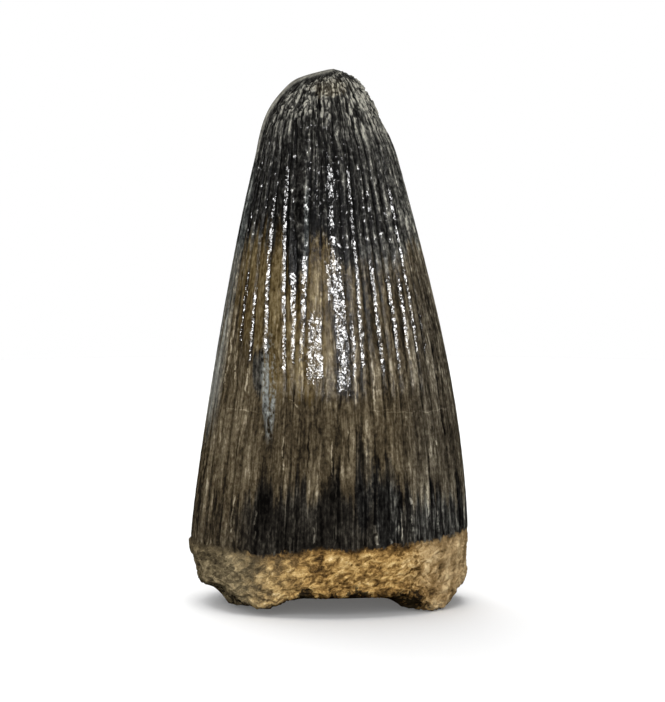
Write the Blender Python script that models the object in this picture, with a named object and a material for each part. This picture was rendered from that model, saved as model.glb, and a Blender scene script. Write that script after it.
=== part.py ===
"""A fossil teleosaurus tooth: a ribbed crown of dark enamel over a short, rough stub of root.

The tooth grew as one piece, so it is one closed solid. It stands on its broken root, on four
small worn spots that lie in one plane. The front is -Y. Azimuths are degrees from the front,
growing towards the right, +X. The outline is worked out by formulas, ring by ring.
"""
import math
import random

import bmesh
import bpy
from mathutils import Vector, noise

MM = 0.001

# The crown's outline, seen from the front
HEIGHT = 40.0 * MM
HALF_WIDTH = 10.45 * MM
TAPER_START = 3.0 * MM
TAPER_POWER = 1.5
TAPER_AT_TIP = 6.84 * MM
CAP_START = 32.0 * MM
CAP_SHARPNESS = 3.5
CAP_ROUNDNESS = 2.4
SWAY = 0.21 * MM
SWAY_START = 3.4 * MM
SWAY_PERIOD = 43.0 * MM

# Its depth, as parts of the half width, and the lean of the tip to the tongue side
FRONT_DEPTH = 0.88
BACK_DEPTH = 0.81
TIP_LEAN = 1.6 * MM

# Ribs run from the edge of the enamel to the knobbly tip
FRONT_RIBS = (
    -82, -75, -68, -62, -55, -45.6, -35.8, -25.8, -19.9, -9,
    1.6, 6.7, 12.1, 18, 22, 27.5, 32, 37.3, 44.4, 50.5, 59, 64.5, 70.6, 79,
)
BACK_RIB_COUNT = 24
BACK_RIB_UNEVENNESS = 0.3
RIB_SEED = 7
RIB_HEIGHT = 0.28 * MM
RIB_TOP = 37.0 * MM
RIB_FADE = 4.0 * MM

# A smooth keel runs down each side from the tip
KEEL_AZIMUTHS = (-86.0, 86.0)
KEEL_WIDTH = 5.0
KEEL_HEIGHT = 0.18 * MM
KEEL_END = 26.0 * MM
KEEL_FULL_REACH = 5.2 * MM

# Enamel ends in a thin step above the root, higher on the right than on the left
ENAMEL_EDGE = 4.7 * MM
ENAMEL_EDGE_SLOPE = 0.45 * MM
ENAMEL_EDGE_WAVE = 0.12 * MM
ENAMEL_THICKNESS = 0.2 * MM

# The root is worn in towards its lower rim, most at the broken corner on the left
ROOT_WEAR = 0.55 * MM
CORNER_BREAK = 0.5 * MM
CORNER_AZIMUTH = -90.0
CORNER_SPREAD = 34.0
ROOT_GRAIN = 0.14 * MM
ROOT_GRAIN_SIZE = 1.6 * MM

# The lower rim: its mean height, then (azimuth, spread, rise) of each low or high stretch
RIM_HEIGHT = 1.45 * MM
RIM_STRETCHES = (
    (54.0, 12.0, -1.9 * MM),
    (-31.0, 13.0, -1.0 * MM),
    (-90.0, 25.0, 0.5 * MM),
    (173.0, 16.0, -1.9 * MM),
    (-146.0, 15.0, -1.2 * MM),
    (118.0, 18.0, -0.4 * MM),
)

# The underside: a shallow hollow where the pulp was, and the four spots that touch down
SOLE_HEIGHT = 0.9 * MM
SOLE_LUMPS = 0.25 * MM
SOLE_LUMP_SIZE = 3.0 * MM
HOLLOW_DEPTH = 1.5 * MM
HOLLOW_REACH = 0.62
FEET = (
    (-6.0 * MM, -3.0 * MM),
    (7.4 * MM, -4.7 * MM),
    (1.0 * MM, 7.6 * MM),
    (-4.9 * MM, 6.1 * MM),
)
FOOT_DROP = 2.4 * MM
FOOT_SPREAD = 2.0 * MM
RIM_BLEND_START = 0.8

# How finely the surface is divided
SOLE_RINGS = (0.12, 0.3, 0.48, 0.62, 0.74, 0.84, 0.93)
ROOT_ROWS = 4
CROWN_ROWS = 26
ROW_CROWDING = 1.6
SHARP_EDGE = math.radians(40)

FOSSIL_COLOUR = (0.05, 0.04, 0.03, 1.0)
FOSSIL_ROUGHNESS = 0.35


def smooth_step(value):
    """Ease from 0 to 1, held at each end."""
    value = min(1.0, max(0.0, value))
    return value * value * (3.0 - 2.0 * value)


def bell(azimuth, centre, spread):
    """A bump of height 1 around an azimuth, counted the short way round."""
    gap = (azimuth - centre + 180.0) % 360.0 - 180.0
    return math.exp(-(gap / spread) ** 2)


def half_width(z):
    """Half the crown's width at a height: a slightly bowed cone under a blunt cap."""
    rise = max(0.0, z - TAPER_START) / (HEIGHT - TAPER_START)
    flank = HALF_WIDTH - TAPER_AT_TIP * rise ** TAPER_POWER
    into_cap = max(0.0, z - CAP_START) / (HEIGHT - CAP_START)
    cap = (1.0 - min(1.0, into_cap) ** CAP_SHARPNESS) ** (1.0 / CAP_ROUNDNESS)
    return flank * cap


def place(azimuth, reach, z):
    """The point at an azimuth and a reach from the tooth's own swaying, leaning midline."""
    turn = math.radians(azimuth)
    depth = FRONT_DEPTH if math.cos(turn) > 0.0 else BACK_DEPTH
    sway = SWAY * math.sin(2.0 * math.pi * (z - SWAY_START) / SWAY_PERIOD)
    lean = TIP_LEAN * (z / HEIGHT) ** 2
    x = reach * math.sin(turn) + sway
    y = -depth * reach * math.cos(turn) + lean
    return Vector((x, y, z))


def rib_crests():
    """Azimuths of all rib crests in order, from -180 to 180."""
    gap_after_front = 360.0 - (FRONT_RIBS[-1] - FRONT_RIBS[0])
    step = gap_after_front / (BACK_RIB_COUNT + 1)
    chance = random.Random(RIB_SEED)
    back = []
    for number in range(1, BACK_RIB_COUNT + 1):
        uneven = chance.uniform(-BACK_RIB_UNEVENNESS, BACK_RIB_UNEVENNESS)
        azimuth = FRONT_RIBS[-1] + step * (number + uneven)
        back.append((azimuth + 180.0) % 360.0 - 180.0)
    return sorted(list(FRONT_RIBS) + back)


def columns():
    """Pairs of azimuth and share of a rib's height: each crest, then the groove after it."""
    crests = rib_crests()
    following = crests[1:] + [crests[0] + 360.0]
    pairs = []
    for crest, after in zip(crests, following):
        pairs.append((crest, 1.0))
        pairs.append(((crest + after) / 2.0, -1.0))
    return pairs


def enamel_edge(azimuth):
    """Height of the line where the enamel ends above the root."""
    slope = ENAMEL_EDGE_SLOPE * math.sin(math.radians(azimuth))
    wave = ENAMEL_EDGE_WAVE * math.sin(math.radians(azimuth * 9.0))
    return ENAMEL_EDGE + slope + wave


def rim_height(azimuth):
    """Height of the root's lower rim."""
    height = RIM_HEIGHT
    for centre, spread, rise in RIM_STRETCHES:
        height += rise * bell(azimuth, centre, spread)
    return max(0.0, height)


def crown_point(azimuth, share, z):
    """A point on the enamel: outline, rib and keel."""
    below_top = smooth_step((RIB_TOP - z) / RIB_FADE)
    reach = half_width(z) + share * below_top * RIB_HEIGHT / 2.0
    keel = max(bell(azimuth, centre, KEEL_WIDTH) for centre in KEEL_AZIMUTHS)
    keel_share = smooth_step((z - KEEL_END) / (CAP_START - KEEL_END))
    keel_share *= min(1.0, half_width(z) / KEEL_FULL_REACH)
    reach += KEEL_HEIGHT * keel * keel_share
    return place(azimuth, reach, z)


def root_point(azimuth, upwards):
    """A point on the rough side of the root, from the rim at 0 to the enamel's edge at 1."""
    low = rim_height(azimuth)
    z = low + (enamel_edge(azimuth) - low) * upwards
    corner = CORNER_BREAK * bell(azimuth, CORNER_AZIMUTH, CORNER_SPREAD)
    worn = ENAMEL_THICKNESS + ROOT_WEAR * (1.0 - upwards) ** 2 + corner * (1.0 - upwards)
    reach = half_width(z) - worn
    smooth = place(azimuth, reach, z)
    grain = ROOT_GRAIN * noise.noise(smooth / ROOT_GRAIN_SIZE)
    return place(azimuth, reach + grain, z)


def sole_point(azimuth, outwards):
    """A point of the underside, from the middle at 0 to the rim at 1."""
    rim = root_point(azimuth, 0.0)
    x = rim.x * outwards
    y = rim.y * outwards
    lumps = SOLE_LUMPS * noise.noise(Vector((x, y, 0.0)) / SOLE_LUMP_SIZE)
    hollow = HOLLOW_DEPTH * smooth_step((HOLLOW_REACH - outwards) / HOLLOW_REACH)
    inner = SOLE_HEIGHT + lumps + hollow
    for foot_x, foot_y in FEET:
        away = math.hypot(x - foot_x, y - foot_y)
        inner -= FOOT_DROP * math.exp(-(away / FOOT_SPREAD) ** 2)
    towards_rim = smooth_step((outwards - RIM_BLEND_START) / (1.0 - RIM_BLEND_START))
    z = inner + (rim.z - inner) * towards_rim
    return Vector((x, y, max(0.0, z)))


def extrude_ring(mesh, ring, column_layer, point_of):
    """Extrude a ring of edges once, and move each new corner to its column's point."""
    made = bmesh.ops.extrude_edge_only(mesh, edges=ring)["geom"]
    for corner in made:
        if isinstance(corner, bmesh.types.BMVert):
            corner.co = point_of(corner[column_layer])
    return [edge for edge in made if isinstance(edge, bmesh.types.BMEdge) and edge.is_boundary]


def crown_height(azimuth, row):
    """Height of a crown row: rows crowd together towards the tip."""
    low = enamel_edge(azimuth) + ENAMEL_THICKNESS
    upwards = 1.0 - (1.0 - row / CROWN_ROWS) ** ROW_CROWDING
    return low + (HEIGHT - low) * upwards


def build_tooth():
    """Grow the tooth from the middle of its underside out to the rim and up to the tip."""
    pairs = columns()
    mesh = bmesh.new()
    column_layer = mesh.verts.layers.int.new("column")
    first = bmesh.ops.create_circle(
        mesh, cap_ends=True, cap_tris=True, segments=len(pairs), radius=MM)["verts"]
    ring_corners = [corner for corner in first if corner.co.length > MM / 2.0]
    middle = next(corner for corner in first if corner.co.length <= MM / 2.0)
    middle.co = sole_point(0.0, 0.0)
    for column, corner in enumerate(ring_corners):
        corner[column_layer] = column
        corner.co = sole_point(pairs[column][0], SOLE_RINGS[0])
    ring = [edge for edge in mesh.edges if edge.is_boundary]

    for outwards in SOLE_RINGS[1:]:
        ring = extrude_ring(mesh, ring, column_layer, lambda c: sole_point(pairs[c][0], outwards))
    for row in range(ROOT_ROWS + 1):
        upwards = row / ROOT_ROWS
        ring = extrude_ring(mesh, ring, column_layer, lambda c: root_point(pairs[c][0], upwards))
    for row in range(CROWN_ROWS):
        ring = extrude_ring(
            mesh, ring, column_layer,
            lambda c: crown_point(*pairs[c], crown_height(pairs[c][0], row)))
    bmesh.ops.extrude_edge_only(mesh, edges=ring)
    tip = [corner for corner in mesh.verts if corner.is_boundary]
    bmesh.ops.pointmerge(mesh, verts=tip, merge_co=place(0.0, 0.0, HEIGHT))

    bmesh.ops.recalc_face_normals(mesh, faces=mesh.faces)
    stand_on_origin(mesh)
    return mesh


def stand_on_origin(mesh):
    """Centre the tooth's box over the origin. Its feet are already at height 0."""
    xs = [corner.co.x for corner in mesh.verts]
    ys = [corner.co.y for corner in mesh.verts]
    middle = Vector(((min(xs) + max(xs)) / 2.0, (min(ys) + max(ys)) / 2.0, 0.0))
    bmesh.ops.translate(mesh, verts=mesh.verts, vec=-middle)


def fossil_material():
    """Dark, fairly glossy fossil enamel."""
    material = bpy.data.materials.new("fossil_enamel")
    material.use_nodes = True
    shader = material.node_tree.nodes["Principled BSDF"]
    shader.inputs["Base Color"].default_value = FOSSIL_COLOUR
    shader.inputs["Roughness"].default_value = FOSSIL_ROUGHNESS
    shader.inputs["Metallic"].default_value = 0.0
    return material


def main():
    for old in list(bpy.data.objects):
        bpy.data.objects.remove(old)
    solid = build_tooth()
    mesh = bpy.data.meshes.new("tooth")
    solid.to_mesh(mesh)
    solid.free()
    mesh.shade_smooth()
    mesh.set_sharp_from_angle(angle=SHARP_EDGE)
    mesh.materials.append(fossil_material())
    tooth = bpy.data.objects.new("tooth", mesh)
    bpy.context.scene.collection.objects.link(tooth)


main()
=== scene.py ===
# %% [markdown]
# This lesson finishes a fossil tooth: a ribbed crown, black and brown, on a stub of ochre root. A
# plain solid of it exists already, at its real size. It is loaded first and then hidden, and the
# finished tooth takes its place.

# %% Load the fixed frame
import math
import random

import bpy
import numpy as np
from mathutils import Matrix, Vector, noise


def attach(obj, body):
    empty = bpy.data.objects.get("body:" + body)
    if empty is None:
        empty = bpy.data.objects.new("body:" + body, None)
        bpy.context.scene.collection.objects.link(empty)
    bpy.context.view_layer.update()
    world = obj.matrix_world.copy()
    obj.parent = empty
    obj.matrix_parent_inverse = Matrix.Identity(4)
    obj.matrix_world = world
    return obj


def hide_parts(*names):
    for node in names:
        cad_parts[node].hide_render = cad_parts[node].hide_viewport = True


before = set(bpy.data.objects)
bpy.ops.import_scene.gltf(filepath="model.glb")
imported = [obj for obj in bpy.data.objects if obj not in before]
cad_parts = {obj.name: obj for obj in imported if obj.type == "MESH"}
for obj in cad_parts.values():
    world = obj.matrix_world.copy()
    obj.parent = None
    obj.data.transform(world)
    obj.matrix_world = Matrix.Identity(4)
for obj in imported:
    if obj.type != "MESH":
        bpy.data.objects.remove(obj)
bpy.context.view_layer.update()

MM = 0.001

# %% [markdown]
# The tooth is seen from the front and from six and a half degrees above level, a little left of the
# picture's middle. A near camera would make the cone taper more than it does, and a view without
# perspective would look like a drawing, so it is a long lens, far away.

# %% Set up the camera
VIEW_RISE = math.radians(6.5)
VIEW_DISTANCE = 400 * MM
PICTURE_WIDTH = 50.07 * MM
AIM_RIGHT = 0.33 * MM
AIM_UP = 18.78 * MM
SENSOR = 36.0


def add_camera():
    """A long lens aimed at the tooth's middle from the front."""
    forward = Vector((0.0, math.cos(VIEW_RISE), -math.sin(VIEW_RISE)))
    upward = Vector((0.0, math.sin(VIEW_RISE), math.cos(VIEW_RISE)))
    aim = Vector((AIM_RIGHT, 0.0, 0.0)) + AIM_UP * upward
    bpy.ops.object.select_all(action="DESELECT")
    bpy.ops.object.camera_add(location=aim - VIEW_DISTANCE * forward)
    camera = bpy.context.object
    camera.name = "camera"
    camera.rotation_euler = forward.to_track_quat("-Z", "Y").to_euler()
    camera.data.sensor_fit = "HORIZONTAL"
    camera.data.sensor_width = SENSOR
    camera.data.lens = SENSOR * VIEW_DISTANCE / PICTURE_WIDTH
    camera.data.clip_start = MM
    camera.data.clip_end = 10.0
    bpy.context.scene.camera = camera
    return camera


lens = add_camera().data.lens
print("lens", round(lens), "mm at", round(VIEW_DISTANCE / MM), "mm")

# %% [markdown]
# The crown is a slightly bowed cone under a blunt cap. Its outline could be a curve through many
# points. One formula for the half width is used, because a few numbers shape it, it stays smooth,
# and any ring can be read from it. The blank lies under the enamel and the ribs, and it draws in a
# little more towards the rim, where the root is worn.

# %% The outline
HEIGHT = 40.0 * MM
HALF_WIDTH = 10.47 * MM
TAPER_START = 3.0 * MM
TAPER_POWER = 1.5
TAPER_AT_TIP = 7.1 * MM
CAP_START = 32.0 * MM
CAP_SHARPNESS = 3.5
CAP_ROUNDNESS = 2.3
ENAMEL_EDGE = 4.7 * MM
ENAMEL_THICKNESS = 0.06 * MM
RIB_HEIGHT = 0.28 * MM
MEAN_RIB = 0.75 * RIB_HEIGHT
ROOT_WEAR = 0.22 * MM
ROOT_WEAR_POWER = 1.5
THINNEST = 0.4 * MM


def smooth_step(value):
    """Ease from 0 to 1, held at each end, for one number or many."""
    value = np.clip(value, 0.0, 1.0)
    return value * value * (3.0 - 2.0 * value)


def ease(values, start, over):
    """Ease from 0 at the start to 1 a distance further on, or further down if it is negative."""
    return smooth_step((values - start) / over)


def half_width(z):
    """Half the crown's width at a height."""
    rise = np.maximum(0.0, z - TAPER_START) / (HEIGHT - TAPER_START)
    flank = HALF_WIDTH - TAPER_AT_TIP * rise ** TAPER_POWER
    into_cap = np.clip((z - CAP_START) / (HEIGHT - CAP_START), 0.0, 1.0)
    return flank * (1.0 - into_cap ** CAP_SHARPNESS) ** (1.0 / CAP_ROUNDNESS)


def blank_radius(z):
    """Radius of the plain blank, under the enamel and its ribs."""
    below_edge = max(0.0, 1.0 - z / ENAMEL_EDGE)
    worn = ENAMEL_THICKNESS + MEAN_RIB + ROOT_WEAR * below_edge ** ROOT_WEAR_POWER
    return max(THINNEST, float(half_width(z)) - worn)


print("widest", round(2 * blank_radius(ENAMEL_EDGE) / MM, 2), "mm at the enamel's edge")

# %% [markdown]
# The real tooth grew as one piece, so it is one closed skin. It could be turned from a profile. Here
# a small disc on the underside has its rim extruded outwards to the root's rim and then up the side
# ring by ring, because each ring can then lie where the relief needs it. The last ring is merged at
# the tip. A subdivision surface rounds the blank and gives it a fine net of points.

# %% Extrude the blank
COLUMNS = 54
SUBDIVISIONS = 3
SOLE_REACHES = (0.42, 0.8, 0.96, 1.0)
ROOT_ROWS = 5
ROOT_CROWDING = 1.7
CROWN_ROWS = 13
CAP_ROWS = (33.4, 34.8, 36.1, 37.3, 38.3, 39.1)
BLANK_TOP = HEIGHT - 0.42 * MM
# Subdivision draws a ring of this many columns in by this much.
ROUNDING = 3.0 / (2.0 + math.cos(2.0 * math.pi / COLUMNS))


def blank_rings():
    """Radius and height of each ring, from the underside's middle to the tip."""
    rim = blank_radius(0.0)
    rings = [(rim * reach, 0.0) for reach in SOLE_REACHES]
    rows = [ENAMEL_EDGE * (row / ROOT_ROWS) ** ROOT_CROWDING for row in range(1, ROOT_ROWS + 1)]
    step = (CAP_START - ENAMEL_EDGE) / CROWN_ROWS
    rows += [ENAMEL_EDGE + step * row for row in range(1, CROWN_ROWS + 1)]
    rows += [height * MM for height in CAP_ROWS]
    rings += [(blank_radius(z), z) for z in rows]
    return [(radius * ROUNDING, z) for radius, z in rings]


def extrude_to(before, after):
    """Extrude the selected ring of edges from one (radius, height) to the next."""
    bpy.ops.mesh.extrude_region_move(TRANSFORM_OT_translate={"value": (0.0, 0.0, after[1] - before[1])})
    scale = after[0] / before[0]
    bpy.ops.transform.resize(value=(scale, scale, 1.0), center_override=(0.0, 0.0, 0.0))


def add_blank():
    """The closed, round, smooth blank of the whole tooth."""
    rings = blank_rings()
    bpy.ops.object.select_all(action="DESELECT")
    bpy.ops.mesh.primitive_circle_add(vertices=COLUMNS, radius=rings[0][0], fill_type="TRIFAN")
    blank = bpy.context.object
    blank.name = "fossil_tooth"
    bpy.ops.object.mode_set(mode="EDIT")
    bpy.ops.mesh.select_mode(type="EDGE")
    bpy.ops.mesh.select_all(action="DESELECT")
    bpy.ops.mesh.select_non_manifold(extend=False, use_wire=False, use_multi_face=False,
                                     use_non_contiguous=False, use_verts=False)
    for before, after in zip(rings, rings[1:]):
        extrude_to(before, after)
    bpy.ops.mesh.extrude_region_move(TRANSFORM_OT_translate={"value": (0.0, 0.0, BLANK_TOP - rings[-1][1])})
    bpy.ops.mesh.merge(type="CENTER")
    bpy.ops.mesh.select_all(action="SELECT")
    bpy.ops.mesh.normals_make_consistent(inside=False)
    bpy.ops.object.mode_set(mode="OBJECT")
    finer = blank.modifiers.new("finer", "SUBSURF")
    finer.levels = SUBDIVISIONS
    finer.render_levels = SUBDIVISIONS
    bpy.ops.object.modifier_apply(modifier=finer.name)
    return blank


tooth = add_blank()
print("blank:", len(tooth.data.vertices), "points,", len(tooth.data.polygons), "faces")

# %% [markdown]
# Ribs, knobs and stains have their places around the tooth and up it. They could be sculpted by
# hand. Here they are rules instead, because ribs repeat, and because a rule is corrected by one
# number. A rule works on a point's azimuth, in degrees from the front towards the right, and on its
# height. Both are read from the round blank, before it is pressed to an oval.

# %% Read each point's azimuth, height and reach
def read_points(piece):
    """All points of a mesh as one array."""
    points = np.empty(len(piece.data.vertices) * 3)
    piece.data.vertices.foreach_get("co", points)
    return points.reshape(-1, 3)


blank_points = read_points(tooth)
azimuth = np.degrees(np.arctan2(blank_points[:, 0], -blank_points[:, 1]))
height = blank_points[:, 2].copy()
reach = np.hypot(blank_points[:, 0], blank_points[:, 1])
outwards = np.clip(reach / blank_radius(0.0), 0.0, 1.0)


def bell(azimuths, centre, spread):
    """A bump of height 1 around an azimuth, counted the short way round."""
    gap = (azimuths - centre + 180.0) % 360.0 - 180.0
    return np.exp(-(gap / spread) ** 2)


def push(piece, name, weights, direction, distance):
    """Displace a piece along a direction, each point by its own share of the distance."""
    group = piece.vertex_groups.new(name=name)
    for index, weight in enumerate(weights):
        if weight > 0.0:
            group.add([index], float(weight), "REPLACE")
    mover = piece.modifiers.new(name, "DISPLACE")
    mover.vertex_group = name
    mover.direction = direction
    mover.mid_level = 0.0
    mover.strength = distance
    bpy.ops.object.modifier_apply(modifier=mover.name)
    piece.vertex_groups.remove(piece.vertex_groups[name])


def sprinkle(rule):
    """A rule's value at every point of the round blank."""
    return np.array([rule(Vector(point)) for point in blank_points])


# %% [markdown]
# Seen from above, a crown like this is a little flatter from lip to tongue than from side to side,
# and flatter behind than in front. The rings could be extruded as ovals, but then the points would
# crowd together at the sides. Pressing the round blank afterwards keeps them spread evenly.

# %% Press the round blank to an oval
FRONT_DEPTH = 0.88
BACK_DEPTH = 0.81


def press(piece, is_in_part, depth):
    """Scale one part of the mesh in depth, towards the plane that parts front from back."""
    bpy.ops.object.mode_set(mode="EDIT")
    bpy.ops.mesh.select_all(action="DESELECT")
    bpy.ops.object.mode_set(mode="OBJECT")
    for corner in piece.data.vertices:
        corner.select = is_in_part(corner.co.y)
    bpy.ops.object.mode_set(mode="EDIT")
    bpy.ops.mesh.select_mode(type="VERT")
    bpy.ops.transform.resize(value=(1.0, depth, 1.0), center_override=(0.0, 0.0, 0.0))
    bpy.ops.object.mode_set(mode="OBJECT")


press(tooth, lambda y: y < 0.0, FRONT_DEPTH)
press(tooth, lambda y: y > 0.0, BACK_DEPTH)
print("oval:", [round(side / MM, 2) for side in tooth.dimensions])

# %% [markdown]
# The root broke off unevenly. It touches the ground at a few worn spots, arches up between them, and
# has lost its left corner and some small chips. The underside is a shallow hollow where the pulp
# was. Booleans would cut all this with hard edges. A rule that lifts the points leaves it rounded
# like worn bone, and the lift fades out towards the enamel.

# %% Shape the rim and the underside
RIM_HEIGHT = 1.4 * MM
RIM_STRETCHES = (
    (55.0, 12.5, -1.6 * MM),
    (-31.0, 12.0, -1.1 * MM),
    (-90.0, 25.0, 0.15 * MM),
    (173.0, 16.0, -1.9 * MM),
    (-146.0, 15.0, -1.2 * MM),
    (118.0, 18.0, -0.4 * MM),
    (-58.0, 11.0, 0.4 * MM),
)
RIM_CHIPS = (
    (-9.0, 3.6, 0.5 * MM),
    (2.5, 2.6, 0.25 * MM),
    (13.0, 5.0, 0.5 * MM),
    (34.0, 4.0, 0.3 * MM),
    (42.0, 4.5, 0.4 * MM),
    (97.0, 3.5, 0.4 * MM),
    (-118.0, 4.0, 0.5 * MM),
    (150.0, 3.0, 0.5 * MM),
)
CHIP_CUT = 0.25
CORNER_BREAK = 0.5 * MM
CORNER_AZIMUTH = -90.0
CORNER_SPREAD = 34.0
SOLE_HEIGHT = 0.9 * MM
HOLLOW_DEPTH = 1.5 * MM
HOLLOW_REACH = 0.62
RIM_BLEND_START = 0.8
FEET = ((-6.0, -3.0), (7.4, -4.7), (1.0, 7.6), (-4.9, 6.1))
FOOT_DROP = 2.4 * MM
FOOT_SPREAD = 2.0 * MM
# Weights end at 1, so every rise is a share of this one.
TALLEST_RISE = 4.0 * MM

rim = RIM_HEIGHT + sum(rise * bell(azimuth, centre, spread) for centre, spread, rise in RIM_STRETCHES)
rim = np.maximum(0.0, rim)
chips = np.zeros(len(azimuth))
for centre, spread, rise in RIM_CHIPS:
    chips = chips + rise * bell(azimuth, centre, spread)
rim = rim + CHIP_CUT * chips
x_now, y_now = read_points(tooth)[:, :2].T
inner = SOLE_HEIGHT + HOLLOW_DEPTH * smooth_step((HOLLOW_REACH - outwards) / HOLLOW_REACH)
for foot_x, foot_y in FEET:
    away = np.hypot(x_now - foot_x * MM, y_now - foot_y * MM)
    inner = inner - FOOT_DROP * np.exp(-(away / FOOT_SPREAD) ** 2)
towards_rim = smooth_step((outwards - RIM_BLEND_START) / (1.0 - RIM_BLEND_START))
sole_rise = np.maximum(0.0, inner + (rim - inner) * towards_rim)
below_edge = np.clip(1.0 - height / ENAMEL_EDGE, 0.0, 1.0)
push(tooth, "rim", sole_rise * below_edge / TALLEST_RISE, "Z", TALLEST_RISE)
corner = bell(azimuth, CORNER_AZIMUTH, CORNER_SPREAD) * below_edge * outwards
push(tooth, "corner", corner, "X", CORNER_BREAK)
print("rim from", round(rim.min() / MM, 2), "to", round(rim.max() / MM, 2), "mm")

# %% [markdown]
# The enamel ends in a thin, ragged edge, higher on the right than on the left, with a dip here and
# there. The ribs belong to the enamel and stop with it. Below it the root is bare: a web of worn
# bone ridges, swollen here and there. Enamel and root could be two pieces, but on the real tooth
# they have grown together, so one number says for each point which of the two it is.

# %% Draw the enamel's edge and roughen the root
EDGE_SLOPE = 0.4 * MM
EDGE_WAVES = (
    (-29.0, 8.0, -0.45 * MM),
    (-3.0, 6.0, 0.3 * MM),
    (9.0, 4.0, -0.15 * MM),
    (60.0, 20.0, 0.1 * MM),
)
EDGE_RAG = 0.22 * MM
EDGE_RAG_SIZE = 0.7 * MM
EDGE_STEP_WIDTH = 0.25 * MM
ROOT_ROUGHNESS = 0.5 * MM
ROOT_LUMP_SIZE = 1.6 * MM
ROOT_GRAIN_SIZE = 0.5 * MM
ROOT_LEVEL = 0.1
LUMP_SHARE = 0.35
GRAIN_SHARE = 0.35
SWELLINGS = (
    (-90.0, 30.0, 3.6 * MM, 0.7 * MM, 0.85),
    (85.0, 30.0, 0.7 * MM, 0.9 * MM, 0.45),
)
NOISE_SEED = 2

# Noise vectors start at a new place in each run unless they are seeded.
noise.seed_set(NOISE_SEED)


def rag(point):
    """The edge's raggedness: large bites with small ones on them."""
    return noise.noise(point / EDGE_RAG_SIZE) + 0.5 * noise.noise(point / EDGE_RAG_SIZE * 2.7)


def worm(point):
    """Bone ridges that wander like worms, 0 to 1."""
    scaled = point / ROOT_GRAIN_SIZE
    scaled += 0.9 * noise.noise_vector(scaled * 0.7)
    return 1.0 - min(1.0, 2.8 * abs(noise.noise(scaled)))


edge_line = ENAMEL_EDGE + EDGE_SLOPE * np.sin(np.radians(azimuth)) + EDGE_RAG * sprinkle(rag)
for centre, spread, rise in EDGE_WAVES:
    edge_line = edge_line + rise * bell(azimuth, centre, spread)
above_root = height - edge_line
enamel = smooth_step(above_root / EDGE_STEP_WIDTH + 0.5)
bare = 1.0 - enamel
lumps = sprinkle(lambda p: 0.5 + 0.5 * noise.noise(p / ROOT_LUMP_SIZE))
grain = sprinkle(worm)
root_relief = ROOT_LEVEL + LUMP_SHARE * lumps + GRAIN_SHARE * grain
for centre, spread, level, tall, share in SWELLINGS:
    swelling = bell(azimuth, centre, spread) * np.exp(-((height - level) / tall) ** 2)
    root_relief = root_relief + share * swelling
root_relief = root_relief * bare * towards_rim
push(tooth, "root", root_relief, "NORMAL", ROOT_ROUGHNESS)
push(tooth, "enamel", enamel, "NORMAL", ENAMEL_THICKNESS)
print("enamel covers", round(100 * float(enamel.mean())), "% of the points")

# %% [markdown]
# Ribs run from the enamel's edge almost to the tip, as flat bands between narrow grooves. An array
# of equal ribs would look machined. On the front each rib has a row of its own: the azimuth of the
# groove on its left, how far that groove leans, from which height to which its flank glints, and
# how much of its whole width glints too. The ribs on the back are spaced out with a little chance.

# %% Plan the ribs
FRONT_RIBS = (
    (-86, 0, 0, 0, 0), (-80.7, 0, 0, 0, 0), (-73.7, -1, 0, 0, 0), (-66.7, -2, 0, 0, 0),
    (-61.2, -3, 18.4, 25.2, 0), (-54, -3, 17.2, 24, 0), (-45, -5, 17.8, 31, 0),
    (-34.8, -7, 16.6, 33.2, 0), (-23.8, -6.5, 17.4, 25.2, 0), (-18.7, -1.5, 17.6, 26.5, 0),
    (-13.6, 1.5, 16, 22.4, 0.92), (-4.2, -0.5, 22, 26, 0), (2.6, -2.5, 15.2, 33.4, 0.92),
    (10.6, -0.5, 16.3, 22, 0), (15.2, 1.5, 17, 33, 0.2), (19.8, 0.5, 0, 0, 0),
    (25.6, -0.5, 16.6, 26, 0.2), (30, 0, 28, 30.5, 0), (35.4, 1, 17, 24.6, 0.2),
    (42.5, 2, 17.8, 24.6, 0), (49.2, 3, 17.2, 31, 0), (56.5, 4, 17.6, 22.5, 0),
    (64, 3, 0, 0, 0), (71, 2, 0, 0, 0), (78, 0, 0, 0, 0), (85, 0, 0, 0, 0),
)
BACK_RIB_COUNT = 24
BACK_RIB_UNEVENNESS = 0.3
BACK_GLINT_LOW = (16.0, 19.0)
BACK_GLINT_HIGH = (21.0, 32.0)
RIB_SEED = 7
LEAN_FROM = 20.0 * MM
LEAN_OVER = 12.0 * MM
LEAN_DOWN_TO = 16.0 * MM
WOBBLES = ((0.4, 2.5 * MM), (0.2, 0.5 * MM))
TIP_WOBBLE = 2.6
TIP_WOBBLE_SIZE = 1.1 * MM
KNOB_START = 33.2 * MM
KNOB_FADE = 3.6 * MM


def rib_plan():
    """All ribs in order round the tooth, each with the five numbers of a front rib."""
    last = FRONT_RIBS[-1][0]
    step = (360.0 - (last - FRONT_RIBS[0][0])) / (BACK_RIB_COUNT + 1)
    ribs = list(FRONT_RIBS)
    for number in range(1, BACK_RIB_COUNT + 1):
        uneven = chance.uniform(-BACK_RIB_UNEVENNESS, BACK_RIB_UNEVENNESS)
        groove = last + step * (number + uneven)
        glint = chance.uniform(*BACK_GLINT_LOW), chance.uniform(*BACK_GLINT_HIGH)
        ribs.append(((groove + 180.0) % 360.0 - 180.0, 0.0, *glint, 0.0))
    ribs.sort()
    return np.array(ribs, dtype=float)


def of_rib(values):
    """The ribs' values at every point. The last rib counts twice, because the ribs go round."""
    return np.concatenate(([values[-1]], values))[rib_number]


def per_rib(low, high):
    """One random number for each rib, at every point."""
    return of_rib([chance.uniform(low, high) for _ in range(len(ribs))])


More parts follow.
